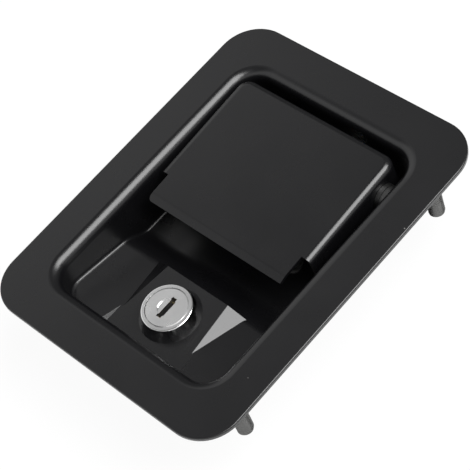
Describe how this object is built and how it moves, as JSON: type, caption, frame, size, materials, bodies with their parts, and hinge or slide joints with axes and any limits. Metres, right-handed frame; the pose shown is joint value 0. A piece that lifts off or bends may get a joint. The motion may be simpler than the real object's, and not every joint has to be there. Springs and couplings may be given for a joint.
{
  "type": "key-locking paddle latch",
  "caption": "Flush paddle latch: a finger paddle in a pressed steel pan draws a sprung slam bolt, with a key lock whose cam blocks the bolt's tail.",
  "frame": {"origin": "centre of the four studs on the back face of the flange", "axes": "+Z out of the latch's face, +Y towards the bolt, +X to the right as seen from the front with the bolt up"},
  "size_m": [0.108, 0.1416, 0.0398],
  "materials": {
    "pan_steel": "satin black powder coat",
    "stud_zinc": "bright zinc plate",
    "pin_zinc": "zinc plate",
    "clip_steel": "black phosphate",
    "washer_zinc": "zinc plate",
    "paddle_steel": "satin black powder coat",
    "lever_zinc": "zinc plate",
    "drive_pin_steel": "ground steel",
    "bush_nylon": "natural nylon",
    "paddle_spring_steel": "drawn spring wire",
    "bolt_zinc": "zinc plated bar",
    "case_steel": "satin black powder coat",
    "rivet_steel": "zinc plate",
    "bolt_spring_steel": "drawn spring wire",
    "guide_steel": "turned steel",
    "collar_steel": "zinc plate",
    "lock_chrome": "bright chrome plate",
    "lock_washer_zinc": "zinc plate",
    "nut_zinc": "zinc plate",
    "plug_zinc": "die-cast zinc",
    "cap_chrome": "bright chrome plate",
    "wafer_brass": "stamped brass",
    "cam_zinc": "zinc plate",
    "cam_washer_zinc": "zinc plate",
    "cam_screw_zinc": "zinc plate"
  },
  "bodies": {
    "pan": {"pan": "pan_steel", "mounting_studs": "stud_zinc", "pivot_pin": "pin_zinc", "pin_clip": "clip_steel", "spacing_washers": "washer_zinc", "latch_case": "case_steel", "case_rivets": "rivet_steel", "spring_guide": "guide_steel", "guide_collar": "collar_steel", "bolt_spring": "bolt_spring_steel", "paddle_spring": "paddle_spring_steel", "lock_body": "lock_chrome", "lock_washer": "lock_washer_zinc", "lock_nut": "nut_zinc"},
    "paddle": {"paddle": "paddle_steel", "paddle_lever": "lever_zinc", "drive_pin": "drive_pin_steel", "drive_bush": "bush_nylon"},
    "bolt": {"slam_bolt": "bolt_zinc"},
    "plug": {"lock_plug": "plug_zinc", "plug_cap": "cap_chrome", "lock_wafers": "wafer_brass", "lock_cam": "cam_zinc", "cam_washer": "cam_washer_zinc", "cam_screw": "cam_screw_zinc"}
  },
  "joints": [
    {"name": "paddle_hinge", "type": "hinge", "parent": "pan", "child": "paddle", "pos_m": [0, 0.038, -0.0065], "axis": [-1, 0, 0], "range_deg": [0, 28], "stiffness_Nm_per_rad": 0.2, "springref_deg": -20.05, "deforming": ["paddle_spring"]},
    {"name": "bolt_slide", "type": "slide", "parent": "pan", "child": "bolt", "axis": [0, 1, 0], "range_m": [-0.0113, 0], "stiffness_N_per_m": 60, "springref_m": 0.01, "deforming": ["bolt_spring"]},
    {"name": "lock_turn", "type": "hinge", "parent": "pan", "child": "plug", "pos_m": [0, -0.036, -0.01], "axis": [0, 0, -1], "range_deg": [0, 90]}
  ],
  "couplings": [
    {"joint": "bolt_slide", "follows": "paddle_hinge", "m_per_rad": -0.02255}
  ]
}
